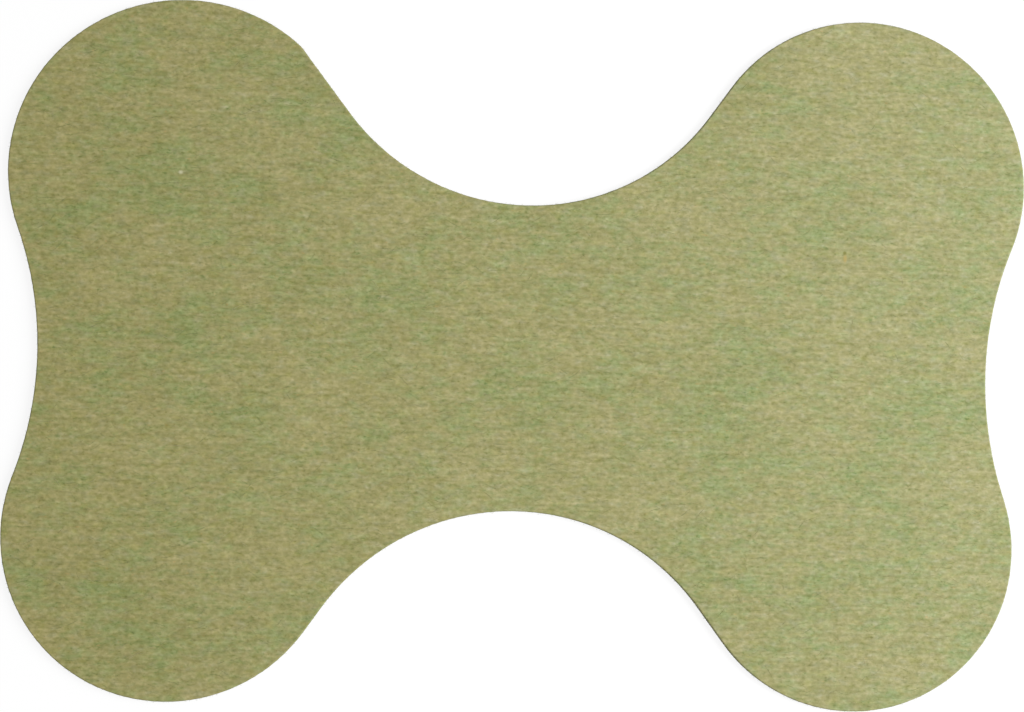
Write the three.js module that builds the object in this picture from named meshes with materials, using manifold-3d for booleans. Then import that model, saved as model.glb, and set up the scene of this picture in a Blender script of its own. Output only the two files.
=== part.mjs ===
// A knee plaster: a skin patch punched out of a laminate of backing cloth, herbal adhesive
// and release liner. It lies on its liner with the cloth up. Its four round lobes hold beside
// the kneecap, and the hollows between them let the joint bend.
//
// Millimetres, +Z up, long side along X. The origin is on the underside, at the middle of
// the outline's box.

import * as THREE from "three";
import { mergeVertices } from "three/addons/utils/BufferGeometryUtils.js";
import Module from "manifold-3d";

// Lobes: four circles about the corners of a rectangle.
const LOBE_RADIUS = 21.1;
const LOBE_X = 43.5;
const LOBE_Y = 23.2;

// The cloth gives a little under the knife, so each lobe's centre lies further out by this
// much, or further in where it is negative, and its radius is larger by this much.
const BACK_RIGHT_GIVE = { x: 0.4, y: 0.4, radius: 0.1 };
const BACK_LEFT_GIVE = { x: -0.1, y: -0.4, radius: 0.7 };
const FRONT_LEFT_GIVE = { x: 0.2, y: -0.1, radius: -0.3 };
const FRONT_RIGHT_GIVE = { x: -0.4, y: 0.2, radius: -0.4 };

// Hollows, each from one lobe to the next, counterclockwise. The depth runs inwards from the
// line between the two lobes' centres to the bottom of the hollow, and is negative where the
// hollow stays outside that line. The flanks are the straight stretches between the hollow's
// arc and the lobe before and after it. The shave is what the second flank cuts off its lobe,
// which leaves a slight corner there.
const BACK_WAIST = { depth: 3.6, flankBefore: 5.1, flankAfter: 6.3, shave: 0.4 };
const LEFT_SIDE = { depth: -17.2, flankBefore: 0.8, flankAfter: 0.8, shave: 0 };
const FRONT_WAIST = { depth: 3.8, flankBefore: 3.6, flankAfter: 5.5, shave: 0 };
const RIGHT_SIDE = { depth: -16.7, flankBefore: 1.4, flankAfter: 0.5, shave: 0 };

// Layers, from the skin side up.
const LINER_THICKNESS = 0.15;
const ADHESIVE_THICKNESS = 0.35;
const CLOTH_THICKNESS = 0.6;

// The punch draws the cloth's upper edge down into this radius.
const CLOTH_EDGE_RADIUS = 0.25;
const CLOTH_EDGE_STEPS = 3;

// The wavy slit that parts the liner across the waist, so that each half peels off.
const SLIT_WIDTH = 0.3;
const SLIT_SWING = 4.0;
const SLIT_WAVELENGTH = 40.0;
const SLIT_OVERRUN = 5.0;

// The longest facet along an arc and along the slit.
const FACET_LENGTH = 1.2;

const FULL_TURN = 2 * Math.PI;

// The circle of a hollow from lobe a to lobe b. Along the line from a to b its centre is at
// the distance where the tangents to both lobes have the lengths of the two flanks, which is
// the root of a quadratic.
function hollowCircle(a, b, hollow) {
  const { depth, flankBefore, flankAfter } = hollow;
  const origin = new THREE.Vector2(a.x, a.y);
  const along = new THREE.Vector2(b.x - a.x, b.y - a.y);
  const span = along.length();
  along.normalize();
  const inward = new THREE.Vector2(-along.y, along.x);

  const reachA = a.radius + depth;
  const reachB = b.radius + depth;
  const freeA = depth ** 2 - a.radius ** 2 - flankBefore ** 2;
  const freeB = depth ** 2 - b.radius ** 2 - flankAfter ** 2;
  const square = reachA - reachB;
  const linear = 2 * span * reachA;
  const constant = (span ** 2 + freeB) * reachA - freeA * reachB;
  const distance = (2 * constant) / (linear + Math.sqrt(linear ** 2 - 4 * square * constant));

  const radius = (distance ** 2 + freeA) / (2 * reachA);
  const centre = origin.addScaledVector(along, distance).addScaledVector(inward, depth - radius);
  return { x: centre.x, y: centre.y, radius };
}

// Where the flank between a lobe and a hollow touches the lobe, as an angle about its centre.
// Side is -1 for the flank that leaves the lobe and +1 for the one that arrives.
function flankAngle(end, hollow, side) {
  const dx = hollow.x - end.x;
  const dy = hollow.y - end.y;
  const lean = Math.acos((end.radius + hollow.radius) / Math.hypot(dx, dy));
  return Math.atan2(dy, dx) + side * lean;
}

// Points along an arc, with as many steps at any inset as the arc itself needs.
function arcPoints(circle, inset, start, end) {
  const steps = Math.ceil((Math.abs(end - start) * circle.radius) / FACET_LENGTH);
  const radius = circle.radius + inset;
  return Array.from({ length: steps + 1 }, (_, i) => {
    const angle = start + ((end - start) * i) / steps;
    return new THREE.Vector2(
      circle.x + radius * Math.cos(angle),
      circle.y + radius * Math.sin(angle),
    );
  });
}

// One lobe, in the quarter that the two signs name.
function lobe(signX, signY, give) {
  return {
    x: signX * (LOBE_X + give.x),
    y: signY * (LOBE_Y + give.y),
    radius: LOBE_RADIUS + give.radius,
  };
}

const LOBES = [
  lobe(1, 1, BACK_RIGHT_GIVE),
  lobe(-1, 1, BACK_LEFT_GIVE),
  lobe(-1, -1, FRONT_LEFT_GIVE),
  lobe(1, -1, FRONT_RIGHT_GIVE),
];
const HOLLOWS = [BACK_WAIST, LEFT_SIDE, FRONT_WAIST, RIGHT_SIDE];

// Each hollow with its circle and its two flanks' angles.
const JOINS = HOLLOWS.map((hollow, i) => {
  const before = LOBES[i];
  const after = LOBES[(i + 1) % LOBES.length];
  const shaved = { ...after, radius: after.radius - hollow.shave };
  const circle = hollowCircle(before, shaved, hollow);
  return {
    circle,
    leave: flankAngle(before, circle, -1),
    arrive: flankAngle(shaved, circle, 1),
    corner: Math.acos(shaved.radius / after.radius),
  };
});

// The punched outline, counterclockwise, drawn in from the knife by the inset.
function outline(inset = 0) {
  return LOBES.flatMap((circle, i) => {
    const before = JOINS[(i + JOINS.length - 1) % JOINS.length];
    const after = JOINS[i];
    const start = before.arrive + before.corner;
    const sweep = THREE.MathUtils.euclideanModulo(after.leave - start, FULL_TURN);
    const turn = THREE.MathUtils.euclideanModulo(after.leave - after.arrive, FULL_TURN);
    const hollowStart = after.leave + Math.PI;
    return [
      ...arcPoints(circle, -inset, start, start + sweep),
      ...arcPoints(after.circle, inset, hollowStart, hollowStart - turn),
    ];
  });
}

const BOX = new THREE.Box2().setFromPoints(outline());
const MIDDLE = BOX.getCenter(new THREE.Vector2());

// The closed solid through a stack of levels, each an outline at its own inset and height.
function layer(levels) {
  const loops = levels.map(({ inset, z }) =>
    outline(inset).map((p) => new THREE.Vector3(p.x - MIDDLE.x, p.y - MIDDLE.y, z)),
  );
  const count = loops[0].length;
  const flat = loops[0].map((p) => new THREE.Vector2(p.x, p.y));
  const top = (loops.length - 1) * count;
  const indices = [];
  for (const [a, b, c] of THREE.ShapeUtils.triangulateShape(flat, [])) {
    indices.push(a, c, b);
    indices.push(top + a, top + b, top + c);
  }
  for (let level = 0; level < loops.length - 1; level += 1) {
    for (let i = 0; i < count; i += 1) {
      const low = level * count + i;
      const lowNext = level * count + ((i + 1) % count);
      indices.push(low, lowNext, lowNext + count);
      indices.push(low, lowNext + count, low + count);
    }
  }
  const geometry = new THREE.BufferGeometry().setFromPoints(loops.flat());
  geometry.setIndex(indices);
  return geometry;
}

// The cloth, with its upper edge rounded over.
function clothGeometry(bottom, top) {
  const edge = Array.from({ length: CLOTH_EDGE_STEPS + 1 }, (_, i) => {
    const angle = (i / CLOTH_EDGE_STEPS) * (Math.PI / 2);
    return {
      inset: CLOTH_EDGE_RADIUS * (1 - Math.cos(angle)),
      z: top - CLOTH_EDGE_RADIUS * (1 - Math.sin(angle)),
    };
  });
  return layer([{ inset: 0, z: bottom }, ...edge]);
}

// The adhesive and the liner are cut square.
function squareLayer(bottom, top) {
  return layer([
    { inset: 0, z: bottom },
    { inset: 0, z: top },
  ]);
}

// A wavy blade across the waist, taller than the liner and longer than the waist.
function slitBlade(top) {
  const half = BOX.getSize(new THREE.Vector2()).y / 2 + SLIT_OVERRUN;
  const steps = Math.ceil((2 * half) / FACET_LENGTH);
  const wave = Array.from({ length: steps + 1 }, (_, i) => {
    const y = -half + (2 * half * i) / steps;
    return new THREE.Vector2(SLIT_SWING * Math.sin((FULL_TURN * y) / SLIT_WAVELENGTH), y);
  });
  const right = wave.map((p) => new THREE.Vector2(p.x + SLIT_WIDTH / 2, p.y));
  const left = wave.map((p) => new THREE.Vector2(p.x - SLIT_WIDTH / 2, p.y)).reverse();
  const depth = 2 * top;
  return new THREE.ExtrudeGeometry(new THREE.Shape([...right, ...left]), {
    depth,
    bevelEnabled: false,
  }).translate(0, 0, top / 2 - depth / 2);
}

const wasm = await Module();
wasm.setup();

function toManifold(geometry) {
  const bare = geometry.clone().deleteAttribute("normal").deleteAttribute("uv");
  const merged = mergeVertices(bare);
  return new wasm.Manifold(
    new wasm.Mesh({
      numProp: 3,
      vertProperties: merged.getAttribute("position").array,
      triVerts: new Uint32Array(merged.index.array),
    }),
  );
}

function fromManifold(solid) {
  const mesh = solid.getMesh();
  const geometry = new THREE.BufferGeometry();
  geometry.setAttribute("position", new THREE.BufferAttribute(mesh.vertProperties, 3));
  geometry.setIndex(new THREE.BufferAttribute(mesh.triVerts, 1));
  return geometry;
}

// The liner's two halves, left first.
function linerHalves(bottom, top) {
  const whole = toManifold(squareLayer(bottom, top));
  const halves = whole.subtract(toManifold(slitBlade(top))).decompose();
  const middle = (solid) => solid.boundingBox().min[0] + solid.boundingBox().max[0];
  return halves.sort((a, b) => middle(a) - middle(b)).map(fromManifold);
}

function part(name, geometry, finish) {
  geometry.computeVertexNormals();
  const mesh = new THREE.Mesh(geometry, new THREE.MeshStandardMaterial(finish));
  mesh.name = name;
  return mesh;
}

const NONWOVEN = { color: 0xa3a26f, roughness: 0.95, metalness: 0 };
const HERBAL_ADHESIVE = { color: 0x4a3320, roughness: 0.45, metalness: 0 };
const RELEASE_FILM = { color: 0xeceae2, roughness: 0.3, metalness: 0 };

const linerTop = LINER_THICKNESS;
const adhesiveTop = linerTop + ADHESIVE_THICKNESS;
const clothTop = adhesiveTop + CLOTH_THICKNESS;
const [leftLiner, rightLiner] = linerHalves(0, linerTop);

const patch = new THREE.Group();
patch.add(
  part("backing_cloth", clothGeometry(adhesiveTop, clothTop), NONWOVEN),
  part("adhesive_layer", squareLayer(linerTop, adhesiveTop), HERBAL_ADHESIVE),
  part("release_liner_left", leftLiner, RELEASE_FILM),
  part("release_liner_right", rightLiner, RELEASE_FILM),
);

export default patch;
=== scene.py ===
import math
import random

import bmesh
import bpy
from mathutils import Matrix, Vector, noise
from mathutils.geometry import delaunay_2d_cdt


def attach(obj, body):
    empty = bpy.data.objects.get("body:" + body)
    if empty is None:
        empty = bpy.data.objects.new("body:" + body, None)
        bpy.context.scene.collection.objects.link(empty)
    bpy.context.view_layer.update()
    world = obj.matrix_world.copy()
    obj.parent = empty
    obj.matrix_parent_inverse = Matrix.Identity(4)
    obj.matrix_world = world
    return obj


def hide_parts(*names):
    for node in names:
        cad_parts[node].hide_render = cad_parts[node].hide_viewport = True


# A knee plaster lying on a white table, seen from nearly overhead, with the soft light
# stronger from the right. The frame is in metres. Lengths here are in millimetres.

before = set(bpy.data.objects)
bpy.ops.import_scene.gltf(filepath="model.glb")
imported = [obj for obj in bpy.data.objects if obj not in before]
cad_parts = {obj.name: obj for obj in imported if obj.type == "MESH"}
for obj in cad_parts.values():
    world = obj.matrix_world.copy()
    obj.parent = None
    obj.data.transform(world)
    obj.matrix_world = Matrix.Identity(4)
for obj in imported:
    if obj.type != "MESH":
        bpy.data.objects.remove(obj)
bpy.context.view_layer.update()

MM = 0.001

# Camera, which stands almost over the middle and is turned a little against the patch.
CAMERA_PLACE = (-10.05, -7.72, 181.6)
CAMERA_TURN = (2.352, -2.868, 1.246)
CAMERA_LENS = 50.0
CAMERA_NEAR = 5.0
CAMERA_FAR = 20000.0

# Cloth mesh: its rounded edge, the steps of its rim and field, the bare margin between the
# two, and how far the cut edge wanders and the surface rises and falls.
EDGE_RADIUS = 0.25
EDGE_STEPS = 5
RIM_STEP = 0.45
FIELD_STEP = 0.5
FIELD_MARGIN = 0.35
EDGE_WANDER = 0.035
WANDER_PITCH = 2.3
RELIEF_DEPTH = 0.035

# Fibres that lie on the cloth. Each heads along the long side, give or take a sway, and bends
# by a curl. The angles are in radians.
LYING_FIBRES = 2600
LYING_LENGTH = (0.9, 2.6)
LYING_RADIUS = (0.012, 0.024)
LYING_SWAY = 0.35
LYING_CURL = 0.45
LYING_ARCH = 0.02
LYING_SINK = 0.004
LYING_STEPS = 5

# How far a lying fibre's ends keep from the cut edge, to each side.
NUDGES = [Vector((0.5, 0.0)), Vector((-0.5, 0.0)), Vector((0.0, 0.5)), Vector((0.0, -0.5))]

# Cut fibres that stand out of the edge, each rooted a little way inside it.
EDGE_FIBRES = 1100
EDGE_FIBRE_RIM_STEP = 0.2
EDGE_FIBRE_REACH = (0.05, 0.3)
EDGE_FIBRE_ROOT = 0.08
EDGE_FIBRE_RISE = (-0.06, 0.1)
EDGE_FIBRE_RADIUS = (0.009, 0.016)
EDGE_FIBRE_STEPS = 3
ABOVE_UNDERSIDE = 0.08
BELOW_TOP = 0.12

# Corners of a fibre's section, in degrees about its run, and how thin its tips are.
FIBRE_SECTION = (90.0, 210.0, 330.0)
FIBRE_TIP = 0.35

# Table: half its width, and the gap that keeps it clear of the liner.
TABLE_HALF = 1500.0
TABLE_GAP = 0.02

# Lamps, in metres and watts, and the strength of the world's light.
KEY_PLACE = (0.27, -0.015, 0.24)
KEY_SIZE = (0.22, 0.24)
KEY_POWER = 1.43
BELOW_PLACE = (0.0, 0.0, -0.25)
BELOW_SIZE = (0.3, 0.3)
BELOW_POWER = 0.45
WORLD_LIGHT = 0.365

WHITE = (1.0, 1.0, 1.0, 1.0)

# Specks that the photograph shows on the cloth: a pale one, and a tan one with a dark head.
# Each has its centre, its reach along X and Y, and its colour.
SPECKS = [
    ((-43.58, 22.16), (0.42, 0.36), (204, 202, 164)),
    ((41.6, 13.5), (0.36, 0.8), (178, 159, 98)),
    ((41.54, 14.2), (0.34, 0.36), (126, 126, 64)),
]

random.seed(11)


def srgb(red, green, blue):
    """A colour given in the 0 to 255 steps of a screen, as linear light."""
    def linear(step):
        value = step / 255
        return value / 12.92 if value <= 0.04045 else ((value + 0.055) / 1.055) ** 2.4
    return (linear(red), linear(green), linear(blue), 1.0)


def camera():
    data = bpy.data.cameras.new("camera")
    data.lens = CAMERA_LENS
    data.clip_start = CAMERA_NEAR * MM
    data.clip_end = CAMERA_FAR * MM
    view = bpy.data.objects.new("camera", data)
    view.location = [value * MM for value in CAMERA_PLACE]
    view.rotation_euler = [math.radians(value) for value in CAMERA_TURN]
    bpy.context.scene.collection.objects.link(view)
    bpy.context.scene.camera = view


class Graph:
    """A short way to write a material's nodes."""

    def __init__(self, name):
        self.material = bpy.data.materials.new(name)
        self.material.use_nodes = True
        self.tree = self.material.node_tree
        self.tree.nodes.clear()

    def add(self, kind, inputs=None, **settings):
        item = self.tree.nodes.new(kind)
        for key, value in settings.items():
            setattr(item, key, value)
        for key, value in (inputs or {}).items():
            self.feed(item.inputs[key], value)
        return item

    def feed(self, socket, value):
        if isinstance(value, bpy.types.NodeSocket):
            self.tree.links.new(value, socket)
        else:
            socket.default_value = value

    def place(self, stretch, offset=(0.0, 0.0, 0.0), turn=0.0):
        """Coordinates in millimetres times the stretch, about a Z turn in degrees."""
        where = self.add("ShaderNodeTexCoord").outputs["Object"]
        turned = self.add(
            "ShaderNodeMapping",
            {"Vector": where, "Rotation": (0.0, 0.0, math.radians(turn))},
        ).outputs["Vector"]
        return self.add(
            "ShaderNodeMapping",
            {
                "Vector": turned,
                "Location": offset,
                "Scale": tuple(value / MM for value in stretch),
            },
        ).outputs["Vector"]

    def noise(self, where, detail=2.0, roughness=0.5, distortion=0.0):
        return self.add(
            "ShaderNodeTexNoise",
            {
                "Vector": where,
                "Scale": 1.0,
                "Detail": detail,
                "Roughness": roughness,
                "Distortion": distortion,
            },
        ).outputs["Fac"]

    def spread(self, value, low, high, to_low=0.0, to_high=1.0, smooth=False):
        return self.add(
            "ShaderNodeMapRange",
            {
                "Value": value,
                "From Min": low,
                "From Max": high,
                "To Min": to_low,
                "To Max": to_high,
            },
            interpolation_type="SMOOTHSTEP" if smooth else "LINEAR",
        ).outputs["Result"]

    def math(self, operation, a, b):
        item = self.add("ShaderNodeMath", operation=operation)
        self.feed(item.inputs[0], a)
        self.feed(item.inputs[1], b)
        return item.outputs["Value"]

    def product(self, first, *others):
        for other in others:
            first = self.math("MULTIPLY", first, other)
        return first

    def blend(self, *parts):
        """The sum of values, each given with its share."""
        total = None
        for value, share in parts:
            weighed = self.math("MULTIPLY", value, share)
            total = weighed if total is None else self.math("ADD", total, weighed)
        return total

    def mix(self, factor, a, b, blend="MIX"):
        item = self.add("ShaderNodeMix", data_type="RGBA", blend_type=blend)
        self.feed(item.inputs["Factor"], factor)
        self.feed(item.inputs[6], a)
        self.feed(item.inputs[7], b)
        return item.outputs[2]

    def spot(self, centre, reach):
        """A small oval spot about the centre, which fades out at its reach along X and Y."""
        stretch = (1 / reach[0], 1 / reach[1], 0.0)
        offset = (-centre[0] / reach[0], -centre[1] / reach[1], 0.0)
        item = self.add("ShaderNodeVectorMath", operation="LENGTH")
        self.feed(item.inputs[0], self.place(stretch, offset))
        return self.spread(item.outputs["Value"], 1.0, 0.2, 0.0, 0.85, True)

    def finish(self, shader):
        self.add("ShaderNodeOutputMaterial", {"Surface": shader})
        return self.material


def cloth_material():
    """Heathered nonwoven cloth: green and tan mottles, streaks along the long side, flecks."""
    g = Graph("heathered_cloth")

    # Hue, from tan to green, and a wash of yellower and greyer patches.
    blotch = g.noise(g.place((0.055, 0.085, 0.05)), 1.0)
    mottle = g.noise(g.place((0.22, 0.42, 0.3), (3.0, 7.0, 0.0)), 3.0, 0.58, 0.3)
    tuft = g.noise(g.place((0.75, 1.7, 1.5), (9.0, 1.0, 0.0)), 1.0, 0.5, 0.4)
    hue = g.blend((mottle, 0.5), (tuft, 0.22), (blotch, 0.28))
    green_share = g.spread(hue, 0.42, 0.68, smooth=True)
    colour = g.mix(green_share, srgb(164, 158.5, 108.5), srgb(149, 160.5, 106))
    wash = g.noise(g.place((0.6, 1.1, 0.8), (21.0, 4.0, 0.0)), 2.0, 0.6)
    colour = g.mix(g.spread(wash, 0.5, 0.75, 0.0, 0.5, True), colour, srgb(162, 159, 94))
    colour = g.mix(g.spread(wash, 0.5, 0.25, 0.0, 0.5, True), colour, srgb(161, 161, 125))

    # Light and dark: streaks, crossing fibres, long drawn lines, grain and dark specks.
    streak = g.noise(g.place((1.5, 2.45, 4.0), (5.0, 3.0, 0.0), 1.0), 1.0, 0.4, 0.15)
    draw = g.noise(g.place((0.16, 2.3, 2.0), (8.0, 5.0, 0.0), 0.5), 1.0, 0.4, 0.2)
    cross = g.noise(g.place((2.4, 2.5, 4.0), (1.0, 8.0, 0.0), 24.0), 1.0, 0.5, 0.5)
    grain = g.noise(g.place((5.0, 5.5, 9.0), (2.0, 2.0, 0.0)), 1.0, 0.5)
    patchy = g.noise(g.place((0.5, 1.0, 1.0), (6.0, 9.0, 0.0)), 2.0, 0.6)
    speck = g.noise(g.place((1.9, 3.3, 3.0), (17.0, 2.0, 0.0)), 1.0, 0.5)
    light = g.product(
        g.spread(streak, 0.2, 0.8, 0.8, 1.18),
        g.spread(cross, 0.2, 0.8, 0.91, 1.09),
        g.spread(draw, 0.2, 0.8, 0.9, 1.09),
        g.spread(grain, 0.25, 0.75, 0.98, 1.02),
        g.spread(patchy, 0.2, 0.8, 0.89, 1.1),
        g.spread(blotch, 0.2, 0.8, 1.05, 0.95),
        g.spread(speck, 0.6, 0.78, 1.0, 0.8, True),
    )

    # Dark green flecks, most of them where the cloth is green, and a few warm ones.
    fleck = g.noise(g.place((1.7, 3.6, 4.0), (14.0, 6.0, 0.0)), 1.0, 0.5, 0.4)
    fleck_share = g.product(
        g.spread(fleck, 0.6, 0.76, 0.0, 0.5, True),
        g.spread(hue, 0.4, 0.62, 0.3, 1.0),
    )
    colour = g.mix(fleck_share, colour, srgb(106, 132, 74))
    warm = g.noise(g.place((1.3, 2.4, 2.0), (2.0, 31.0, 0.0)), 1.0, 0.5)
    colour = g.mix(g.spread(warm, 0.68, 0.82, 0.0, 0.4, True), colour, srgb(184, 154, 98))

    # Blue falls faster in the dark than green does. Painted light tints the cloth from its left
    # end
    # to its right: warmer on the dimmer left, cooler on the right, which the key lamp lights
    # more.
    across = g.add(
        "ShaderNodeSeparateXYZ",
        {"Vector": g.add("ShaderNodeTexCoord").outputs["Object"]},
    ).outputs["X"]
    left, right = -60 * MM, 60 * MM
    red = g.product(g.math("POWER", light, 1.1), g.spread(across, left, right, 1.02, 0.97))
    blue = g.product(g.math("POWER", light, 1.55), g.spread(across, left, right, 0.92, 1.09))
    tone = g.add(
        "ShaderNodeCombineColor",
        {"Red": red, "Green": light, "Blue": blue},
    ).outputs["Color"]
    colour = g.mix(1.0, colour, tone, "MULTIPLY")
    for centre, reach, tone in SPECKS:
        colour = g.mix(g.spot(centre, reach), colour, srgb(*tone))

    fuzz = g.blend((streak, 0.6), (cross, 0.4), (grain, 0.25))
    bump = g.add(
        "ShaderNodeBump",
        {"Strength": 0.45, "Distance": 0.12 * MM, "Height": fuzz},
    ).outputs["Normal"]
    shader = g.add(
        "ShaderNodeBsdfPrincipled",
        {
            "Base Color": colour,
            "Roughness": 0.92,
            "Specular IOR Level": 0.18,
            "Sheen Weight": 0.08,
            "Sheen Roughness": 0.6,
            "Normal": bump,
        },
    )
    return g.finish(shader.outputs["BSDF"])


def fibre_material():
    """Loose fibres, each of a tone of its own between green, tan and cream."""
    g = Graph("loose_fibre")
    which = g.add("ShaderNodeNewGeometry").outputs["Random Per Island"]
    ramp = g.add("ShaderNodeValToRGB", {"Fac": which})
    stops = [
        (0.0, srgb(128, 142, 90)),
        (0.25, srgb(146, 154, 102)),
        (0.5, srgb(168, 163, 114)),
        (0.8, srgb(182, 176, 130)),
        (1.0, srgb(194, 190, 152)),
    ]
    ramp.color_ramp.elements[0].color = stops[0][1]
    ramp.color_ramp.elements[1].color = stops[-1][1]
    for place, tone in stops[1:-1]:
        ramp.color_ramp.elements.new(place).color = tone
    shader = g.add(
        "ShaderNodeBsdfPrincipled",
        {"Base Color": ramp.outputs["Color"], "Roughness": 0.75, "Specular IOR Level": 0.3},
    )
    return g.finish(shader.outputs["BSDF"])


def adhesive_material():
    """Tacky brown adhesive with ground herb in it."""
    g = Graph("herbal_adhesive")
    herb = g.noise(g.place((3.5, 3.5, 3.5)), 3.0, 0.65)
    flow = g.noise(g.place((0.4, 0.4, 0.6), (4.0, 2.0, 0.0)), 2.0)
    colour = g.mix(g.spread(flow, 0.3, 0.7), srgb(88, 58, 34), srgb(62, 40, 24))
    colour = g.mix(g.spread(herb, 0.55, 0.7, 0.0, 0.8, True), colour, srgb(112, 88, 48))
    bump = g.add(
        "ShaderNodeBump",
        {"Strength": 0.35, "Distance": 0.05 * MM, "Height": herb},
    ).outputs["Normal"]
    shader = g.add(
        "ShaderNodeBsdfPrincipled",
        {
            "Base Color": colour,
            "Roughness": g.spread(flow, 0.3, 0.7, 0.32, 0.5),
            "Coat Weight": 0.25,
            "Coat Roughness": 0.2,
            "Normal": bump,
        },
    )
    return g.finish(shader.outputs["BSDF"])


def liner_material():
    """Pale release film with a soft gloss and a faint ripple."""
    g = Graph("release_film")
    cloud = g.noise(g.place((0.12, 0.12, 0.12)), 2.0)
    scuff = g.noise(g.place((0.5, 4.0, 1.0), (3.0, 1.0, 0.0), 30.0), 3.0, 0.6)
    colour = g.mix(g.spread(cloud, 0.3, 0.7), srgb(240, 239, 233), srgb(231, 229, 220))
    ripple = g.math("ADD", cloud, g.math("MULTIPLY", scuff, 0.04))
    bump = g.add(
        "ShaderNodeBump",
        {"Strength": 0.25, "Distance": 0.25 * MM, "Height": ripple},
    ).outputs["Normal"]
    shader = g.add(
        "ShaderNodeBsdfPrincipled",
        {
            "Base Color": colour,
            "Roughness": g.spread(scuff, 0.3, 0.7, 0.22, 0.36),
            "Coat Weight": 0.3,
            "Coat Roughness": 0.12,
            "Normal": bump,
        },
    )
    return g.finish(shader.outputs["BSDF"])


def floor_material():
    """White table: white to the camera, save for the patch's soft shadow. Its underside is clear,
    and it holds no light back from the underside of what lies on it."""
    g = Graph("white_table")
    path = g.add("ShaderNodeLightPath")
    paint = g.add("ShaderNodeBsdfDiffuse", {"Color": (0.82, 0.82, 0.82, 1.0)}).outputs["BSDF"]
    white = g.add("ShaderNodeEmission", {"Color": WHITE, "Strength": 1.08}).outputs["Emission"]
    share = g.math("MULTIPLY", path.outputs["Is Camera Ray"], 0.8)
    face = g.add("ShaderNodeMixShader", {0: share, 1: paint, 2: white}).outputs["Shader"]
    clear = g.add("ShaderNodeBsdfTransparent").outputs["BSDF"]
    back = g.add("ShaderNodeNewGeometry").outputs["Backfacing"]
    open_share = g.math("MAXIMUM", back, g.math("SUBTRACT", 1.0, path.outputs["Is Camera Ray"]))
    whole = g.add("ShaderNodeMixShader", {0: open_share, 1: face, 2: clear}).outputs["Shader"]
    return g.finish(whole)


def cut_outline(node):
    """The outline of a CAD node's underside, counterclockwise, with the node's lowest and
    highest level and the outline's area, all in millimetres."""
    form = bmesh.new()
    form.from_mesh(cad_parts[node].data)
    bmesh.ops.remove_doubles(form, verts=form.verts, dist=1e-6)
    low = min(v.co.z for v in form.verts)
    high = max(v.co.z for v in form.verts)
    after = {}
    for face in form.faces:
        if face.calc_center_median().z > low + 1e-6:
            continue
        for loop in face.loops:
            if len(loop.edge.link_faces) == 2:
                other = [f for f in loop.edge.link_faces if f is not face][0]
                if other.calc_center_median().z > low + 1e-6:
                    after[loop.vert] = loop.link_loop_next.vert
    vert = start = next(iter(after))
    points = []
    while True:
        points.append(Vector((vert.co.x, vert.co.y)) / MM)
        vert = after[vert]
        if vert is start:
            break
    form.free()
    area = sum(a.x * b.y - b.x * a.y for a, b in zip(points, points[1:] + points[:1])) / 2
    if area < 0:
        points.reverse()
    return points, low / MM, high / MM, abs(area)


def resampled(points, step):
    """The closed outline again, with points about a step apart and its corners kept."""
    result = []
    for a, b in zip(points, points[1:] + points[:1]):
        count = max(1, round((b - a).length / step))
        result += [a.lerp(b, i / count) for i in range(count)]
    return result


def outward(points):
    """The outward direction at each point of a counterclockwise outline."""
    result = []
    for before, after in zip(points[-1:] + points[:-1], points[1:] + points[:1]):
        along = (after - before).normalized()
        result.append(Vector((along.y, -along.x)))
    return result


def inside(point, points):
    """Whether a point lies within a closed outline."""
    odd = False
    for a, b in zip(points, points[1:] + points[:1]):
        if (a.y > point.y) != (b.y > point.y):
            if point.x < a.x + (b.x - a.x) * (point.y - a.y) / (b.y - a.y):
                odd = not odd
    return odd


def relief(x, y):
    """How far the cloth's surface lies above its level, or mostly below it."""
    broad = noise.noise(Vector((x * 0.16, y * 0.22, 3.0)))
    tuft = noise.noise(Vector((x * 0.6, y * 1.1, 8.0)))
    return RELIEF_DEPTH * (0.55 * broad + 0.45 * tuft - 0.5)


def new_piece(name, mesh, material):
    mesh.materials.append(material)
    piece = bpy.data.objects.new(name, mesh)
    bpy.context.scene.collection.objects.link(piece)
    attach(piece, "root")
    return piece


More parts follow.
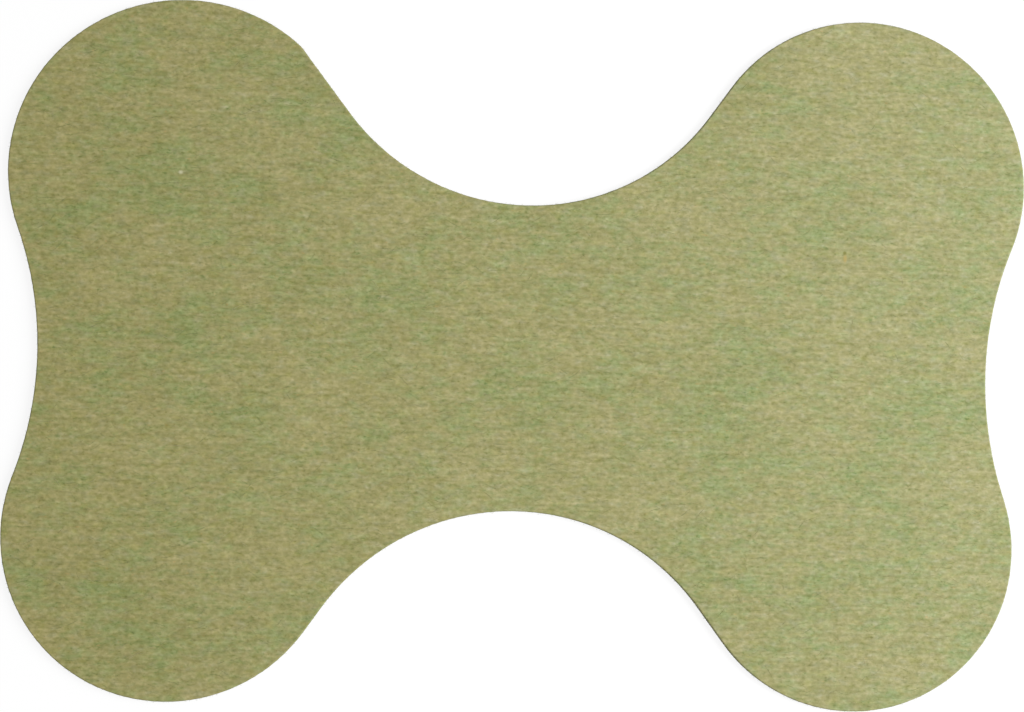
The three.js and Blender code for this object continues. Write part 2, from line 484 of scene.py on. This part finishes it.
def cloth_mesh(outline, low, high):
    """The closed cloth: underside, cut edge, rounded shoulder and a field with a soft relief."""
    rim = resampled(outline, RIM_STEP)
    out = outward(rim)
    levels = [(0.0, low), (0.0, (low + high - EDGE_RADIUS) / 2)]
    for i in range(EDGE_STEPS + 1):
        angle = math.pi / 2 * i / EDGE_STEPS
        inset = EDGE_RADIUS * (1 - math.cos(angle))
        levels.append((inset, high - EDGE_RADIUS * (1 - math.sin(angle))))

    form = bmesh.new()
    rings = []
    for order, (inset, z) in enumerate(levels):
        ring = []
        for point, away in zip(rim, out):
            spot = Vector((point.x * WANDER_PITCH, point.y * WANDER_PITCH, order * 0.7))
            wander = EDGE_WANDER * noise.noise(spot)
            place = point - away * (inset - wander + EDGE_WANDER / 2)
            lift = relief(place.x, place.y) if order == len(levels) - 1 else 0.0
            ring.append(form.verts.new((place.x * MM, place.y * MM, (z + lift) * MM)))
        rings.append(ring)
    count = len(rim)
    for lower, upper in zip(rings, rings[1:]):
        for i in range(count):
            j = (i + 1) % count
            form.faces.new((lower[i], lower[j], upper[j], upper[i]))
    form.faces.new(list(reversed(rings[0])))

    top = [Vector((v.co.x, v.co.y)) / MM for v in rings[-1]]
    field = list(top)
    columns = [p.x for p in top]
    rows = [p.y for p in top]
    row_step = FIELD_STEP * math.sqrt(3) / 2
    for row in range(int((max(rows) - min(rows)) / row_step)):
        y = min(rows) + (row + 0.5) * row_step
        crossings = sorted(
            a.x + (b.x - a.x) * (y - a.y) / (b.y - a.y)
            for a, b in zip(top, top[1:] + top[:1])
            if (a.y > y) != (b.y > y)
        )
        shift = FIELD_STEP / 2 * (row % 2)
        for left, right in zip(crossings[::2], crossings[1::2]):
            first = math.ceil((left + FIELD_MARGIN - min(columns) - shift) / FIELD_STEP)
            last = math.floor((right - FIELD_MARGIN - min(columns) - shift) / FIELD_STEP)
            field += [
                Vector((min(columns) + shift + i * FIELD_STEP, y)) for i in range(first, last + 1)
            ]
    ring_edges = [(i, (i + 1) % count) for i in range(count)]
    points, _, faces, _, _, _ = delaunay_2d_cdt(field, ring_edges, [], 1, 1e-5)
    verts = list(rings[-1])
    for point in points[count:]:
        z = high + relief(point.x, point.y)
        verts.append(form.verts.new((point.x * MM, point.y * MM, z * MM)))
    for face in faces:
        form.faces.new([verts[i] for i in face])
    bmesh.ops.recalc_face_normals(form, faces=form.faces)
    mesh = bpy.data.meshes.new("cloth")
    form.to_mesh(mesh)
    form.free()
    mesh.shade_smooth()
    return mesh


def add_fibre(form, points, radius):
    """One fibre: a three-sided tube through the points, in millimetres, tapering to its ends."""
    rings = []
    for i, point in enumerate(points):
        ahead = (points[min(i + 1, len(points) - 1)] - points[max(i - 1, 0)]).normalized()
        side = ahead.cross(Vector((0.0, 0.0, 1.0))).normalized()
        up = side.cross(ahead)
        share = i / (len(points) - 1)
        thick = radius * (FIBRE_TIP + (1 - FIBRE_TIP) * math.sin(math.pi * share))
        ring = []
        for turn in FIBRE_SECTION:
            angle = math.radians(turn)
            place = point + (side * math.cos(angle) + up * math.sin(angle)) * thick
            ring.append(form.verts.new(place * MM))
        rings.append(ring)
    for a, b in zip(rings, rings[1:]):
        for i in range(len(a)):
            j = (i + 1) % len(a)
            form.faces.new((a[i], b[i], b[j], a[j]))
    form.faces.new(rings[0])
    form.faces.new(list(reversed(rings[-1])))


def lying_fibres(outline, high):
    """Loose fibres that lie on the cloth, most of them along its long side."""
    form = bmesh.new()
    columns = [p.x for p in outline]
    rows = [p.y for p in outline]
    made = 0
    while made < LYING_FIBRES:
        x = random.uniform(min(columns), max(columns))
        y = random.uniform(min(rows), max(rows))
        heading = random.gauss(0.0, LYING_SWAY)
        curl = random.gauss(0.0, LYING_CURL)
        stride = random.uniform(*LYING_LENGTH) / LYING_STEPS
        points = []
        place = Vector((x, y))
        for i in range(LYING_STEPS + 1):
            points.append(place)
            angle = heading + curl * i / LYING_STEPS
            place = place + Vector((math.cos(angle), math.sin(angle))) * stride
        ends = (points[0], points[-1])
        if not all(inside(end + nudge, outline) for end in ends for nudge in NUDGES):
            continue
        line = []
        for i, point in enumerate(points):
            arch = LYING_ARCH * math.sin(math.pi * i / LYING_STEPS)
            z = high + relief(point.x, point.y) + arch - LYING_SINK
            line.append(Vector((point.x, point.y, z)))
        add_fibre(form, line, random.uniform(*LYING_RADIUS))
        made += 1
    mesh = bpy.data.meshes.new("lying_fibres")
    form.to_mesh(mesh)
    form.free()
    mesh.shade_smooth()
    return mesh


def edge_fibres(outline, low, high):
    """Short cut fibres that stand a little proud of the cloth's edge."""
    form = bmesh.new()
    rim = resampled(outline, EDGE_FIBRE_RIM_STEP)
    out = outward(rim)
    for i in random.sample(range(len(rim)), EDGE_FIBRES):
        away = out[i]
        along = Vector((-away.y, away.x))
        reach = random.uniform(*EDGE_FIBRE_REACH)
        slant = random.uniform(-1.0, 1.0) * reach
        z = random.uniform(low + ABOVE_UNDERSIDE, high - BELOW_TOP)
        rise = random.uniform(*EDGE_FIBRE_RISE)
        points = []
        for step in range(EDGE_FIBRE_STEPS + 1):
            share = step / EDGE_FIBRE_STEPS
            out_by = reach * share - EDGE_FIBRE_ROOT
            flat = rim[i] + away * out_by + along * slant * share * share
            points.append(Vector((flat.x, flat.y, z + rise * share)))
        add_fibre(form, points, random.uniform(*EDGE_FIBRE_RADIUS))
    mesh = bpy.data.meshes.new("edge_fibres")
    form.to_mesh(mesh)
    form.free()
    mesh.shade_smooth()
    return mesh


def patch():
    outline, low, high, area = cut_outline("backing_cloth")
    cloth = new_piece("cloth_sheet", cloth_mesh(outline, low, high), cloth_material())
    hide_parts("backing_cloth")
    fibre = fibre_material()
    lying = new_piece("cloth_lying_fibres", lying_fibres(outline, high), fibre)
    edge = new_piece("cloth_edge_fibres", edge_fibres(outline, low, high), fibre)

    adhesive = adhesive_material()
    liner = liner_material()
    for name, material in [
        ("adhesive_layer", adhesive),
        ("release_liner_left", liner),
        ("release_liner_right", liner),
    ]:
        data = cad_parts[name].data
        data.materials.clear()
        data.materials.append(material)


def table():
    mesh = bpy.data.meshes.new("table")
    half = TABLE_HALF * MM
    mesh.from_pydata(
        [(-half, -half, 0.0), (half, -half, 0.0), (half, half, 0.0), (-half, half, 0.0)],
        [],
        [(0, 1, 2, 3)],
    )
    mesh.materials.append(floor_material())
    top = bpy.data.objects.new("table", mesh)
    top.location.z = -TABLE_GAP * MM
    bpy.context.scene.collection.objects.link(top)


def area_lamp(name, place, size, watts):
    """A soft rectangular lamp that points at the patch."""
    data = bpy.data.lights.new(name, "AREA")
    data.shape = "RECTANGLE"
    data.size, data.size_y = size
    data.energy = watts
    lamp = bpy.data.objects.new(name, data)
    lamp.location = place
    lamp.rotation_euler = (-Vector(place)).to_track_quat("-Z", "Y").to_euler()
    bpy.context.scene.collection.objects.link(lamp)
    return lamp


def light():
    """A key lamp from the right, a lamp for the underside, and a white world behind it all."""
    area_lamp("key", KEY_PLACE, KEY_SIZE, KEY_POWER)
    below = area_lamp("below", BELOW_PLACE, BELOW_SIZE, BELOW_POWER)
    below.visible_camera = False

    world = bpy.data.worlds.new("studio")
    bpy.context.scene.world = world
    world.use_nodes = True
    tree = world.node_tree
    tree.nodes.clear()
    path = tree.nodes.new("ShaderNodeLightPath")
    seen = tree.nodes.new("ShaderNodeMath")
    seen.operation = "MAXIMUM"
    strength = tree.nodes.new("ShaderNodeMapRange")
    strength.inputs["To Min"].default_value = WORLD_LIGHT
    strength.inputs["To Max"].default_value = 1.0
    air = tree.nodes.new("ShaderNodeBackground")
    air.inputs["Color"].default_value = WHITE
    output = tree.nodes.new("ShaderNodeOutputWorld")
    tree.links.new(path.outputs["Is Camera Ray"], seen.inputs[0])
    tree.links.new(path.outputs["Is Transmission Ray"], seen.inputs[1])
    tree.links.new(seen.outputs["Value"], strength.inputs["Value"])
    tree.links.new(strength.outputs["Result"], air.inputs["Strength"])
    tree.links.new(air.outputs["Background"], output.inputs["Surface"])


camera()
patch()
table()
light()
bpy.context.scene.view_settings.view_transform = "Standard"
